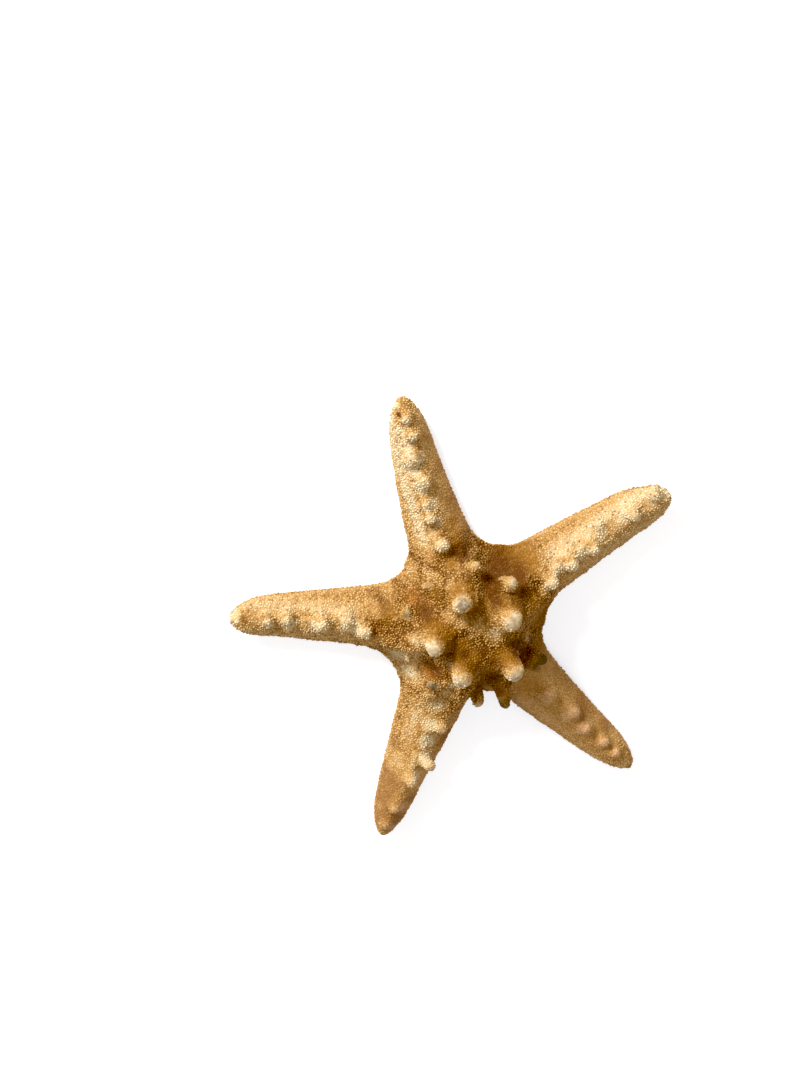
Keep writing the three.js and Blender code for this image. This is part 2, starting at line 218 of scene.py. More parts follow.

# Colours painted on the skin: a kind, then its patches as (x, y, radius, strength). The deep, golden, brown
# and rust patches are mostly painted shade, and many of the pale ones are painted light.
PATCHES = [
    # the shaded corner of the disc between arms A and B: deep and golden patches of painted shade, and one
    # pale patch of painted light in a horn's shadow
    ("deep", (9.4, 11.2, 4.6, 1.0), (13.2, 10.2, 2.8, 0.9), (4.8, 10.0, 2.2, 0.8), (6.4, 8.2, 2.2, 1.1),
     (13.2, 7.6, 2.6, 1.0), (10.4, 8.4, 2.0, 0.9), (2.0, 19.2, 2.4, 1.1), (6.6, 10.4, 2.8, 1.0),
     (13.4, 10.4, 2.6, 0.9)),
    ("golden", (6.2, 8.2, 2.8, 1.4), (11.6, 9.4, 2.6, 1.2), (0.2, 13.2, 1.6, 0.8), (3.6, 16.0, 2.4, 0.8),
     (13.0, 13.6, 4.6, 1.0), (17.0, 11.6, 3.0, 0.9), (14.6, 5.6, 2.4, 0.8), (1.2, 21.0, 3.4, 0.9)),
    ("pale", (2.0, 6.4, 2.4, 0.35)),
    # the rest of the disc: golden, deep and rust patches of painted shade beside the horns, and pale patches
    # of painted light on their lit sides and between them
    ("golden", (-1.0, 17.6, 1.8, 0.8), (-3.6, -0.8, 2.6, 0.9), (0.4, -9.4, 3.2, 0.9), (5.6, -6.4, 2.4, 1.0),
     (13.0, -12.0, 3.2, 0.9), (16.0, -4.6, 3.2, 1.1), (15.6, 1.0, 3.4, 1.1), (3.2, -17.6, 3.2, 1.2),
     (-7.0, 12.4, 2.4, 0.8), (-1.0, 17.5, 1.4, 1.0)),
    ("deep", (-3.6, -2.2, 1.6, 0.9), (0.6, -3.2, 1.8, 0.8), (2.4, -6.8, 2.2, 0.8), (8.6, -5.6, 2.2, 1.2),
     (4.0, -14.6, 2.0, 0.9), (9.6, -9.6, 3.0, 1.0), (1.6, -12.4, 2.4, 0.9), (-11.2, -6.2, 1.9, 1.1),
     (-9.6, 8.4, 2.0, 0.9)),
    ("rust", (-11.6, 10.4, 2.6, 0.6), (-12.8, -7.4, 1.8, 0.9), (-12.6, -7.2, 1.8, 1.2)),
    ("pale", (-17.8, -4.0, 3.6, 1.2), (-17.4, -9.0, 2.8, 1.1), (-14.6, -1.0, 2.4, 0.7),
     (-12.8, 2.8, 2.0, 1.2), (-10.6, 4.2, 1.4, 0.8), (4.7, 0.8, 2.2, 1.3), (5.4, 4.6, 1.5, 0.7),
     (1.6, 3.6, 3.0, 0.6), (-2.2, 5.8, 2.0, 0.9), (-4.4, 7.2, 1.8, 0.8), (-6.8, -3.6, 1.5, 0.7),
     (-8.4, -11.0, 1.8, 1.0), (-10.2, -13.6, 1.8, 0.8), (-11.6, 15.6, 3.0, 0.65), (-2.4, 13.8, 1.6, 0.7),
     (11.4, -7.4, 0.9, 0.6), (6.0, -15.6, 1.2, 0.5), (-13.9, -13.6, 1.8, 0.7), (-6.5, 15.7, 2.0, 0.6)),
    # arm A: pale patches of painted light along its lit left side, brown patches of painted shade along its
    # right side, and painted shade in a dent near its tip
    ("rust", (-5.6, 20.5, 3.4, 0.5), (-1.4, 52.6, 2.0, 0.6)),
    ("pale", (-3.6, 25.6, 2.6, 0.8), (-4.6, 56.4, 1.8, 1.4), (-2.6, 52.2, 1.8, 1.1), (-5.0, 50.0, 1.8, 1.3),
     (-1.7, 43.0, 2.2, 1.1), (-3.9, 46.4, 2.6, 1.4), (-3.9, 41.4, 2.8, 1.5), (-3.2, 36.4, 2.6, 1.5),
     (-1.8, 31.8, 2.4, 1.2), (-1.4, 27.6, 2.0, 1.1)),
    ("deep", (-4.0, 54.0, 0.6, 1.2)),
    ("brown", (2.4, 46.0, 2.2, 0.7), (2.8, 38.0, 2.6, 0.7), (3.4, 30.0, 3.0, 0.7)),
    ("golden", (1.7, 25.6, 2.0, 0.8)),
    # arm B: rust patches of painted shade beside its knobs, and pale patches of painted light along its crest
    # and lit side
    ("rust", (25.4, 7.6, 1.3, 0.8), (31.6, 9.8, 1.4, 0.8), (37.2, 12.3, 1.5, 0.7)),
    ("pale", (22.4, 8.4, 2.6, 1.3), (28.8, 10.6, 2.6, 1.4), (34.0, 13.6, 2.4, 1.3), (40.0, 15.5, 2.8, 1.3),
     (47.6, 18.2, 2.8, 1.3), (51.4, 18.2, 2.2, 1.8)),
    # arm C: brown and rust patches of painted shade, and pinkish knobs
    ("brown", (20.0, -30.0, 4.0, 0.8), (25.0, -36.6, 2.6, 0.8)),
    ("pink", (8.0, -24.0, 2.0, 0.6), (11.0, -29.4, 2.0, 0.6), (16.4, -29.6, 2.2, 0.8),
     (19.0, -34.4, 2.2, 0.8), (28.6, -39.6, 1.8, 0.7)),
    ("pale", (26.4, -47.4, 2.4, 0.6)),
    ("rust", (20.0, -28.0, 2.6, 0.4)),
    # arm D: brown patches of painted shade over its outer third and its shaded side, and pale patches of
    # painted light along its crest
    ("brown", (-24.4, -26.5, 2.4, 0.8), (-31.0, -41.0, 2.6, 1.0), (-29.6, -34.6, 4.0, 1.2),
     (-31.6, -38.6, 4.2, 1.2), (-32.0, -45.0, 5.0, 1.2), (-29.0, -45.6, 3.4, 1.0), (-24.6, -42.0, 2.6, 0.8),
     (-12.8, -28.0, 2.6, 0.9)),
    ("pink", (-27.4, -42.4, 1.6, 0.8), (-31.4, -47.4, 1.4, 0.7)),
    ("pale", (-13.0, -17.0, 2.6, 1.1), (-15.6, -21.6, 2.6, 1.3), (-17.2, -26.2, 2.8, 1.5),
     (-19.2, -30.0, 2.4, 1.4), (-22.4, -34.6, 2.0, 1.2)),
    # arm E: deep and rust patches of painted shade in the dents between its knobs, and pale patches along its
    # knobs, partly painted light
    ("deep", (-18.8, 11.0, 2.2, 0.6), (-50.6, 15.8, 1.6, 1.0)),
    ("golden", (-18.6, 9.2, 3.0, 0.9), (-22.4, 9.9, 2.0, 0.8)),
    ("pale", (-17.0, 12.8, 2.2, 0.6), (-26.8, 8.2, 3.0, 1.5), (-34.4, 9.8, 2.6, 1.5),
     (-40.6, 12.2, 2.4, 1.4), (-45.2, 13.4, 2.0, 1.3), (-52.6, 16.6, 2.2, 2.0)),
    ("rust", (-31.2, 7.6, 1.3, 0.8), (-21.6, 5.9, 1.8, 0.6), (-47.8, 14.6, 1.6, 0.7),
     (-43.0, 12.6, 1.0, 0.7), (-38.2, 11.2, 1.2, 0.7)),
]

# Grid of a half arm
STATIONS = 110  # steps along the arm
TOP_STEPS = 34  # steps from the crest to the margin
UNDER_STEPS = 26  # steps from the margin to the middle of the groove

# Skin
VOXEL = 0.41
INSET = 0.22  # the skin lies this far inside the solid, and the grains stand on it
SMOOTHING = 3
KNOB_SMOOTHING = 4  # about the arms' knobs
DISC_SMOOTHING = 12  # over the disc and the feet of its horns
PLATES = (2.2, 0.3)  # size and height of the plates that show through the skin
LUMPS = (3.2, 0.26)
FINE_LUMPS = (1.0, 0.1)
MARGIN_ROWS = (1.3, 0.07)  # of small plates along the margin
MARGIN_ROWS_RISE = 0.8  # their middle is this far above the margin
GROOVE_ROWS = (1.5, 0.16)  # across the grooves
GRAIN_SPACING = 0.5
GRAIN_RADIUS = 0.25
GRAIN_HEIGHT = 0.26
GRAINS_MISSING = 0.1
SOLE_GRAIN_SPACING = 0.75
SOLE_GRAIN_RADIUS = 0.36
GRAIN_SIDES = 5
GRAIN_RING = (0.78, 0.62)  # the upper ring of a grain, in shares of its radius and height
GRAIN_SINK = 0.35  # share of its height that is below the skin
GRAIN_SPREAD = (0.75, 1.25)  # the least and the greatest share of the radius


def smooth(x, lo, hi):
    x = np.clip((x - lo) / (hi - lo), 0, 1)
    return x * x * (3 - 2 * x)


def lerp(a, b, x):
    return a + (b - a) * x


def polar(direction, distance):
    a = np.radians(direction)
    return np.stack([np.cos(a) * distance, np.sin(a) * distance], -1)


def on_arm(arm, u, v):
    """The point of the plan at distance u along the arm's curved axis and v to its left."""
    swing = arm["bow"] * np.sin(np.pi * u / arm["length"])
    return polar(arm["heading"], u) + polar(arm["heading"] + 90, v + swing)


def along_arm(arm, x, y):
    """The distance along an arm and to its left of points of the plan."""
    a = np.radians(arm["heading"])
    u = x * np.cos(a) + y * np.sin(a)
    v = y * np.cos(a) - x * np.sin(a)
    swing = arm["bow"] * np.sin(np.pi * np.clip(u / arm["length"], 0, 1))
    return u, v - swing


def tip_round(arm, u):
    past = np.clip((u - arm["length"] + arm["end"]) / arm["end"], 0, 1)
    return np.sqrt(1 - past**2)


def tip_lift(arm, u):
    return arm["lift"] * smooth(u, arm["length"] - TIP_LIFT_LENGTH, arm["length"]) ** 1.5


def bay_of(arm, web):
    turned = math.radians(abs((web[0] - arm["heading"] + 180) % 360 - 180))
    return web[1] * math.cos(turned), web[1] * math.sin(turned), turned


def half_width(arm, bay, u):
    """Half width of the arm at distance u, web included."""
    bay_u, bay_v, turned = bay

    def straight(x):
        return lerp(*arm["widths"], (x - bay_u) / (arm["length"] - bay_u))

    flare = bay_v - straight(bay_u)
    left = np.clip(1 - (u - bay_u) / (WEB_POWER * flare * math.tan(turned)), 0, 1)
    return straight(u) * tip_round(arm, u) + flare * left**WEB_POWER


def crest_z(arm, u):
    dome = (DISC_Z - ROOT_Z) * (1 - smooth(u, DISC_FLAT_R, DISC_FOOT_R))
    return lerp(ROOT_Z, END_Z, u / arm["length"]) + dome


def bell(t):
    return np.cos(np.pi / 2 * t**1.8) ** 2


def roof(t):
    return np.clip(1 - t**1.5, 0, 1) ** 0.75


def leaning(direction, degrees):
    flat = polar(direction, math.sin(math.radians(degrees)))
    return np.array((flat[0], flat[1], math.cos(math.radians(degrees))))


def all_knobs():
    """Every horn and knob: its radius, height, place in the plan, direction and finish."""
    found = []
    for direction, distance, radius, height, lean, bald, grey, olive_painted_shade in HORNS:
        found.append(dict(
            radius=radius, height=height, place=polar(direction, distance), axis=leaning(direction, lean),
            bald=bald, grey=grey, olive_painted_shade=olive_painted_shade, tan=0, pale=1.1 if radius >= HORN_RADIUS else 0.7,
            sink=SINK if lean < DEEP_SINK_LEAN else DEEP_SINK,
        ))
    for arm in ARMS:
        for u, v, radius, height, lean in arm["knobs"]:
            found.append(dict(
                radius=radius, height=height, place=on_arm(arm, u, v), sink=SINK,
                axis=leaning(arm["heading"] + 90, lean),
                bald=arm["bald"], grey=0.05, olive_painted_shade=0, tan=arm["tan"], pale=1.2,
            ))
    return found


KNOBS = all_knobs()


def gaussian(x):
    return np.exp(-x * x)


def relief_at(plan):
    """How far the top is raised by the mounds under the knobs, less the hollows."""
    relief = np.zeros(plan.shape[:-1])
    for k in KNOBS:
        away = np.linalg.norm(plan - k["place"], axis=-1)
        relief += MOUND_HEIGHT * k["radius"] * gaussian(away / (MOUND_SPREAD * k["radius"]))
    for direction, distance, radius, deep in HOLLOWS:
        away = np.linalg.norm(plan - polar(direction, distance), axis=-1)
        relief -= deep * gaussian(away / radius)
    return relief


def half_arm(arm, web, side):
    """A grid of points over one half of an arm: rows run from the crest over the margin to the groove."""
    bay = bay_of(arm, web)
    g = np.linspace(0, 1, STATIONS + 1)
    g = ((g + np.sin(np.pi / 2 * g)) / 2)[:, None]
    margin_u = lerp(bay[0], arm["length"], g[:, 0])
    crest_u = arm["length"] * g[:, 0] + ROOT_LENGTH * g[:, 0] * (1 - g[:, 0])
    crest = on_arm(arm, crest_u, 0)
    margin = on_arm(arm, margin_u, side * half_width(arm, bay, margin_u))
    crest[0] = 0
    margin[0] = polar(*web)
    width = np.linalg.norm(margin - crest, axis=-1)[:, None]

    def place(t, z):
        u = lerp(crest_u[:, None], margin_u[:, None], t)
        plan = crest[:, None] + (margin - crest)[:, None] * t[..., None]
        z = MARGIN_Z + (z - MARGIN_Z) * tip_round(arm, u) + tip_lift(arm, u)
        return np.concatenate([plan, z[..., None]], -1)

    t = np.sin(np.pi / 2 * np.linspace(0, 1, TOP_STEPS + 1))[None, :]
    t = np.repeat(t, STATIONS + 1, 0)
    plan = crest[:, None] + (margin - crest)[:, None] * t[..., None]
    height = crest_z(arm, crest_u)[:, None] - MARGIN_Z
    shape = lerp(bell(t), roof(t), smooth(g, 0, 0.4))
    relief = relief_at(plan) * np.clip((1 - t) / RELIEF_FADE, 0, 1)
    top = place(t, MARGIN_Z + height * shape + relief)

    # underneath: the side, the flat sole, and the groove
    share = np.clip(crest_u / arm["length"], 0, 1)[:, None]
    depth = lerp(*GROOVE_DEPTHS, share) + MOUTH_DEPTH * gaussian(crest_u / MOUTH_RADIUS)[:, None]
    edge = np.minimum(GROOVE_MOST, lerp(*GROOVE_HALF_WIDTHS, share) / np.maximum(width, 1e-3))
    s = np.linspace(1, 0, UNDER_STEPS + 1)[None, 1:]
    t = np.repeat(s, STATIONS + 1, 0)
    outside = np.clip((t - SOLE_SHARE) / (1 - SOLE_SHARE), 0, 1)
    side_z = MARGIN_Z * (1 - np.sqrt(1 - outside**2))
    groove_z = depth * (1 - np.clip(t / edge, 0, 1) ** GROOVE_POWER)
    under = place(t, side_z + groove_z)
    return np.concatenate([top, under], 1)


def crest_top(x, y, sheets):
    """Height of the top of the body over a point of the plan, from the four nearest points of the grids."""
    near = np.argsort((sheets[:, 0] - x) ** 2 + (sheets[:, 1] - y) ** 2)[:4]
    return sheets[near, 2].mean()


def knob_points(knob):
    """A knob's surface: a flared foot, a tapering shank and a blunt round end, with a little waviness."""
    h = np.concatenate([[-knob["sink"]] * 2, np.linspace(0, 1, KNOB_RINGS) ** 0.85 * knob["height"]])
    share = np.clip(h / knob["height"], 0, 1)
    past = np.clip((share - SHANK_END) / (1 - SHANK_END), 0, 1)
    wide, narrowing, roundness = HORN_SHANK if knob["radius"] >= HORN_RADIUS else KNOB_SHANK
    flare = FLARE * knob["axis"][2] ** 8
    r = knob["radius"] * (wide + flare * np.exp(-share / narrowing)) * np.sqrt(1 - past**roundness)
    # the first ring all but closes the foot, and the second is its buried edge
    r[0] = 0.01 * knob["radius"]
    r[1] = (HORN_SHANK[0] + BURIED_FLARE * knob["axis"][2] ** 12) * knob["radius"]
    a = np.linspace(0, 2 * np.pi, KNOB_SIDES, endpoint=False)
    wave = 1
    for turns, height, phase in zip((2, 3, 5), (0.05, 0.035, 0.02), rng.uniform(0, 6.3, 3)):
        wave = wave + height * np.sin(turns * a + phase)
    ring = np.stack([np.cos(a) * wave, np.sin(a) * wave], -1)
    p = np.concatenate([r[:, None, None] * ring[None], np.repeat(h[:, None, None], KNOB_SIDES, 1)], -1)
    turn = np.array(Vector((0, 0, 1)).rotation_difference(Vector(knob["axis"])).to_matrix())
    return p @ turn.T + knob["base"]


def grid_faces(rows, columns, first=0, flip=False, wrap=False):
    r = np.arange(rows - 1)[:, None]
    c = np.arange(columns if wrap else columns - 1)[None, :]
    after = (c + 1) % columns
    here, below = r * columns, (r + 1) * columns
    quad = np.stack([here + c, below + c, below + after, here + after], -1).reshape(-1, 4) + first
    return quad[:, ::-1] if flip else quad


def add_object(name, data):
    obj = bpy.data.objects.new(name, data)
    bpy.context.scene.collection.objects.link(obj)
    return obj


def make_mesh(name, points, faces):
    """A smooth mesh from points in millimetres from the mouth, held in the solid's box, and faces."""
    mesh = bpy.data.meshes.new(name)
    inside = np.clip((points + MOUTH) * MM, *cad_box)
    mesh.from_pydata(inside, [], faces, shade_flat=False)
    mesh.validate()
    return add_object(name, mesh)


def raw_body():
    """The overlapping pieces of the body and its knobs, still to be grown into one skin."""
    points, faces, tops = [], [], []
    count = 0
    for i, arm in enumerate(ARMS):
        for web, side in ((WEBS[i - 1], 1), (WEBS[i], -1)):
            sheet = half_arm(arm, web, side)
            tops.append(sheet[:, :TOP_STEPS + 1].reshape(-1, 3))
            faces.append(grid_faces(*sheet.shape[:2], first=count, flip=side < 0))
            points.append(sheet.reshape(-1, 3))
            count += len(points[-1])
    tops = np.concatenate(tops)
    for knob in KNOBS:
        knob["base"] = np.array((*knob["place"], crest_top(*knob["place"], tops)))
        ringed = knob_points(knob)
        rows, sides = ringed.shape[:2]
        faces.append(grid_faces(rows, sides, first=count, flip=True, wrap=True))
        points.append(ringed.reshape(-1, 3))
        count += rows * sides
    return np.concatenate(points), np.concatenate(faces)


def remeshed(obj):
    """The object's mesh grown into one skin of even squares, as points in millimetres and faces."""
    change = obj.modifiers.new("skin", "REMESH")
    change.mode = "VOXEL"
    change.voxel_size = VOXEL * MM
    change.adaptivity = 0
    done = obj.evaluated_get(bpy.context.evaluated_depsgraph_get())
    mesh = bpy.data.meshes.new_from_object(done)
    points = np.empty(len(mesh.vertices) * 3, np.float32)
    mesh.vertices.foreach_get("co", points)
    loops = np.empty(len(mesh.loops), np.int32)
    mesh.loops.foreach_get("vertex_index", loops)
    for used in (obj.data, mesh):
        bpy.data.meshes.remove(used)
    return points.reshape(-1, 3).astype(float) / MM - MOUTH, loops.reshape(-1, 4)


def neighbour_mean(points, faces, times):
    """The points, moved that many times halfway to the mean of the points next to them."""
    a = faces.ravel()
    b = np.roll(faces, -1, 1).ravel()
    count = np.bincount(a, minlength=len(points)) + np.bincount(b, minlength=len(points))
    for _ in range(times):
        mean = np.empty_like(points)
        for axis in range(3):
            column = points[:, axis]
            total = np.bincount(a, column[b], len(points)) + np.bincount(b, column[a], len(points))
            mean[:, axis] = total / count
        points = lerp(points, mean, 0.5)
    return points


def normals_of(points, faces):
    p = points[faces]
    n = np.cross(p[:, 2] - p[:, 0], p[:, 3] - p[:, 1])
    out = np.zeros_like(points)
    for corner in range(4):
        for axis in range(3):
            out[:, axis] += np.bincount(faces[:, corner], n[:, axis], len(points))
    return out / np.maximum(np.linalg.norm(out, axis=1), 1e-12)[:, None]


def noise_at(points, size, seed):
    """Smooth noise from -1 to 1 whose lumps are about size millimetres across."""
    shift = Vector((seed * 17.3, seed * 7.1, seed * 3.7))
    return np.array([noise.noise(Vector(p) / size + shift) for p in points])


def cells_at(points, size, seed):
    """Random cells about size millimetres across: 1 in the middle of each and 0 on its edge."""
    shift = Vector((seed * 11.9, seed * 5.3, seed * 2.9))
    out = np.empty(len(points))
    for i, p in enumerate(points):
        near = noise.voronoi(Vector(p) / size + shift)[0]
        out[i] = near[1] - near[0]
    return np.clip(out * 1.6, 0, 1)


def to_segment(x, y, start, end):
    """The distance of points of the plan from a straight line between two points."""
    start, along = np.array(start), np.array(end) - np.array(start)
    share = np.clip(((x - start[0]) * along[0] + (y - start[1]) * along[1]) / (along @ along), 0, 1)
    return np.hypot(x - start[0] - share * along[0], y - start[1] - share * along[1])


def arm_places(x, y):
    """The nearest arm to each point of the plan, and the point's place along it and across it."""
    which = np.zeros(len(x), int)
    best_u, best_v = np.ones(len(x)), np.full(len(x), 99.0)
    for i, arm in enumerate(ARMS):
        u, v = along_arm(arm, x, y)
        nearer = (u > 0) & (np.abs(v) * best_u < np.abs(best_v) * u)
        which[nearer], best_u[nearer], best_v[nearer] = i, u[nearer], v[nearer]
    return which, best_u, best_v


def about_knob(points, knob):
    """The points from a knob's foot, their rise along its axis, and their distance from it in radii."""
    away = points - knob["base"]
    rise = away @ knob["axis"]
    return away, rise, np.linalg.norm(away - rise[:, None] * knob["axis"], axis=1) / knob["radius"]


def raise_to(fields, kind, value):
    """Makes a field no lower anywhere than the value."""
    fields[kind] = np.maximum(fields[kind], value)


def knob_fields(points, normals):
    """What the horns and knobs make of the skin on and beside them, by kind of place."""
    kinds = ("bald", "pale", "grey", "tan", "olive_painted_shade", "golden", "pink", "calm", "horn")
    out = {kind: np.zeros(len(points)) for kind in kinds}
    wobble = noise_at(points, 1.1, 8) * 0.18
    # each horn is painted paler on the side that faces the light, and golden on the side away from it:
    # painted light and painted shade
    facing_light = smooth(normals[:, :2] @ polar(LIT_SIDE, 1.0), -0.5, 0.75)
    for k in KNOBS:
        _, rise, off = about_knob(points, k)
        h = rise / k["height"] + wobble
        bald = (1 - smooth(off, 1.15, 1.6)) * smooth(h, k["bald"] - 0.16, k["bald"] + 0.12)
        if k["radius"] >= HORN_RADIUS:
            side = 1 - smooth(off, 1.2, 2.3)
            foot = (1 - smooth(off, 1.0, 2.0)) * smooth(h + 0.35 * facing_light, 0.5, 1.3)
            # the golden lower flank of a big horn is partly painted shade, made weaker on the side facing the
            # light
            flank = side * (1 - smooth(h, 0.2, 1.0)) * (1 - 0.6 * facing_light)
            raise_to(out, "golden", flank * (1 - k["olive_painted_shade"]))
            raise_to(out, "calm", 0.65 * side * smooth(h, -0.1, 0.4) * (1 - 0.6 * facing_light))
        else:
            foot = (1 - smooth(off, 1.0, 2.3)) * smooth(h, 0.0, 0.8)
        raise_to(out, "bald", bald)
        raise_to(out, "pale", k["pale"] * foot * (1 - 0.8 * k["olive_painted_shade"]) * (1 - k["tan"]))
        raise_to(out, "pink", foot * k["tan"])
        raise_to(out, "horn", (1 - smooth(off, 1.2, 1.7)) * smooth(h, 0.0, 0.35))
        raise_to(out, "grey", bald * k["grey"])
        raise_to(out, "tan", bald * k["tan"])
        # the olive brown on and beside a horn is painted shade
        raise_to(out, "olive_painted_shade", foot * k["olive_painted_shade"])
    return out


def skin_fields(points, normals):
    """What the skin is like at each point, by kind of place, and how far it faces up and where it is."""
    x, y, z = points.T
    f = knob_fields(points, normals)
    upper = smooth(normals[:, 2], -0.3, 0.1)
    tips = np.clip(np.maximum(f["pale"], f["pink"]), 0, 1)
    which, u, v = arm_places(x, y)
    for kind in ("deep", "rust", "brown"):
        f[kind] = np.zeros(len(points))
    # most deep, golden, brown and rust patches are painted shade, and many pale ones painted light
    for kind, *patches in PATCHES:
        for px, py, radius, strength in patches:
            patch = strength * gaussian(np.hypot(x - px, y - py) / radius) * upper
            if kind in ("deep", "rust", "golden"):
                patch = patch * (1 - 0.5 * f["horn"]) * (1 - 0.95 * tips)
                raise_to(f, "calm", 0.5 * patch)
            raise_to(f, kind, patch)
    for start, end, half, _, pale in FOLDS:
        raise_to(f, "pale", pale * gaussian(to_segment(x, y, start, end) / (1.4 * half)) * upper)
    steep = 1 - smooth(normals[:, 2], 0.25, 0.75)
    low = 1 - smooth(z, 2.5, 6.5)
    calm = 0.85 * steep * low
    for i, arm in enumerate(ARMS):
        mine = which == i
        calm[mine] = np.maximum(calm[mine], np.interp(u[mine], *zip(*arm["calm"])))
        aside = np.abs(v[mine])
        beside = smooth(u[mine], FLANK_START, FLANK_START + 8) * smooth(aside, 0.8, 3.6)
        # a flank's paleness is painted light, strongest on the side the light falls on
        painted_light_left, painted_light_right, calm_left, calm_right = arm["flanks"]
        left = v[mine] > 0
        all_over = arm["pale"] * smooth(u[mine], 20, 30)
        pale = np.maximum(beside * np.where(left, painted_light_left, painted_light_right), all_over)
        pale *= 1 - 0.6 * smooth(aside, 4.0, 6.5)
        f["pale"][mine] = np.maximum(f["pale"][mine], pale * upper[mine])
        calm[mine] = np.maximum(calm[mine], beside * np.where(left, calm_left, calm_right))
    raise_to(f, "calm", calm * upper)
    covered = np.clip(np.maximum(f["brown"], np.maximum(f["deep"], 0.8 * f["golden"])), 0, 1)
    f["pale"] *= 1 - 0.9 * covered * (1 - 0.8 * tips)
    f["under"] = 1 - upper
    return f, upper, which, u, v


def groove_share(which, u, v):
    """1 in the middle of the groove under an arm, 0 from its edges outwards."""
    share = np.zeros(len(u))
    for i, arm in enumerate(ARMS):
        mine = which == i
        half = lerp(*GROOVE_HALF_WIDTHS, np.clip(u[mine] / arm["length"], 0, 1))
        share[mine] = np.clip(1 - np.abs(v[mine]) / half, 0, 1)
    return share


def eased(points, faces):
    """The skin smoothed: a little all over, more about the arms' knobs, most on the disc."""
    points = neighbour_mean(points, faces, SMOOTHING)
    blend = np.zeros(len(points))
    shank = np.zeros(len(points))
    for k in KNOBS:
        away, rise, off = about_knob(points, k)
        if k["radius"] < HORN_RADIUS:
            blend = np.maximum(blend, 1 - smooth(np.linalg.norm(away, axis=1) / k["radius"], 1.4, 3.0))
        shank = np.maximum(shank, (1 - smooth(off, 1.3, 1.8)) * smooth(rise / k["height"], 0.15, 0.5))
    points = lerp(points, neighbour_mean(points, faces, KNOB_SMOOTHING), blend[:, None])
    disc = (1 - smooth(np.hypot(points[:, 0], points[:, 1]), 22, 27)) * smooth(points[:, 2], 2.5, 4.5)
    return lerp(points, neighbour_mean(points, faces, DISC_SMOOTHING), (disc * (1 - shank))[:, None])


def folds_and_dents(x, y):
    """How far the folds raise the skin, less the dents."""
    out = np.zeros(len(x))
    for start, end, half, height, _ in FOLDS:
        out += height * gaussian(to_segment(x, y, start, end) / half)
    for px, py, radius, deep in DENTS:
        out -= deep * gaussian(np.hypot(x - px, y - py) / radius)
    return out


def waves(u, size, height):
    """Rows across an arm, that far apart along it."""
    return height * np.cos(2 * np.pi * u / size)


def skin_points():
    """The finished skin: its points, faces and fields, and how far it faces up or is in a groove."""
    points, faces = remeshed(make_mesh("raw_skin", *raw_body()))
    points = eased(points, faces)
    normals = normals_of(points, faces)
    f, upper, which, u, v = skin_fields(points, normals)
    x, y, z = points.T
    relief = folds_and_dents(x, y) + PLATES[1] * (cells_at(points, PLATES[0], 1) - 0.5)
    for (size, height), seed in ((LUMPS, 2), (FINE_LUMPS, 3)):
        relief = relief + height * noise_at(points, size, seed)
    side = gaussian((z - MARGIN_Z - MARGIN_ROWS_RISE) / 1.8) * (1 - smooth(normals[:, 2], 0.3, 0.8))
    push = -INSET + upper * (1 - 0.8 * np.maximum(f["horn"], 0.6 * f["calm"])) * relief
    push += waves(u, *MARGIN_ROWS) * side * upper
    in_groove = groove_share(which, u, v) * (1 - upper)
    push += waves(u, *GROOVE_ROWS) * smooth(in_groove, 0.05, 0.4)
    points = points + normals * push[:, None]

    # raised places are worn pale, and hollow ones are darker: painted shade in the hollows
    raised = ((points - neighbour_mean(points, faces, 40)) * normals).sum(1) * upper
    raise_to(f, "pale", 0.3 * smooth(raised, 0.06, 0.35) * (1 - np.clip(f["deep"], 0, 1)))
    hollow_shade = 0.3 * smooth(-raised, 0.05, 0.35)
    raise_to(f, "deep", hollow_shade * (1 - 0.85 * np.clip(np.maximum(f["pale"], f["bald"]), 0, 1)))
    return points, faces, f, upper, in_groove


def spaced(points, spacing):
    """Numbers of the points, in random order, that lie no closer than the spacing to one taken before."""
    keys = np.floor(points / spacing).astype(int).tolist()
    places = points.tolist()
    steps = list(itertools.product((-1, 0, 1), repeat=3))
    nearest = spacing**2
    taken = {}
    kept = []
    for i in rng.permutation(len(points)).tolist():
        x, y, z = places[i]
        ka, kb, kc = keys[i]
        near = (p for a, b, c in steps for p in taken.get((ka + a, kb + b, kc + c), ()))
        if all((px - x) ** 2 + (py - y) ** 2 + (pz - z) ** 2 >= nearest for px, py, pz in near):
            taken.setdefault((ka, kb, kc), []).append((x, y, z))
            kept.append(i)
    return np.array(kept)


def scattered(points, faces, values, wanted, spacing, tries=6):
    """Spaced random places on the faces where wanted, a number from 0 to 1 at each point, allows them."""
    tri = np.concatenate([faces[:, [0, 1, 2]], faces[:, [0, 2, 3]]])
    p = points[tri]
    area = np.linalg.norm(np.cross(p[:, 1] - p[:, 0], p[:, 2] - p[:, 0]), axis=1) / 2
    area *= wanted[tri].mean(1)
    pick = rng.choice(len(tri), int(tries * area.sum() / spacing**2), p=area / area.sum())
    a = rng.random((len(pick), 2))
    a = np.where((a.sum(1) > 1)[:, None], 1 - a, a)
    weight = np.stack([1 - a.sum(1), a[:, 0], a[:, 1]], -1)
    place = (points[tri[pick]] * weight[..., None]).sum(1)
    kept = spaced(place, spacing)
    tri, weight = tri[pick[kept]], weight[kept]
    mixed = {}
    for name, value in values.items():
        shares = weight if value.ndim == 1 else weight[..., None]
        mixed[name] = (value[tri] * shares).sum(1)
    return place[kept], mixed


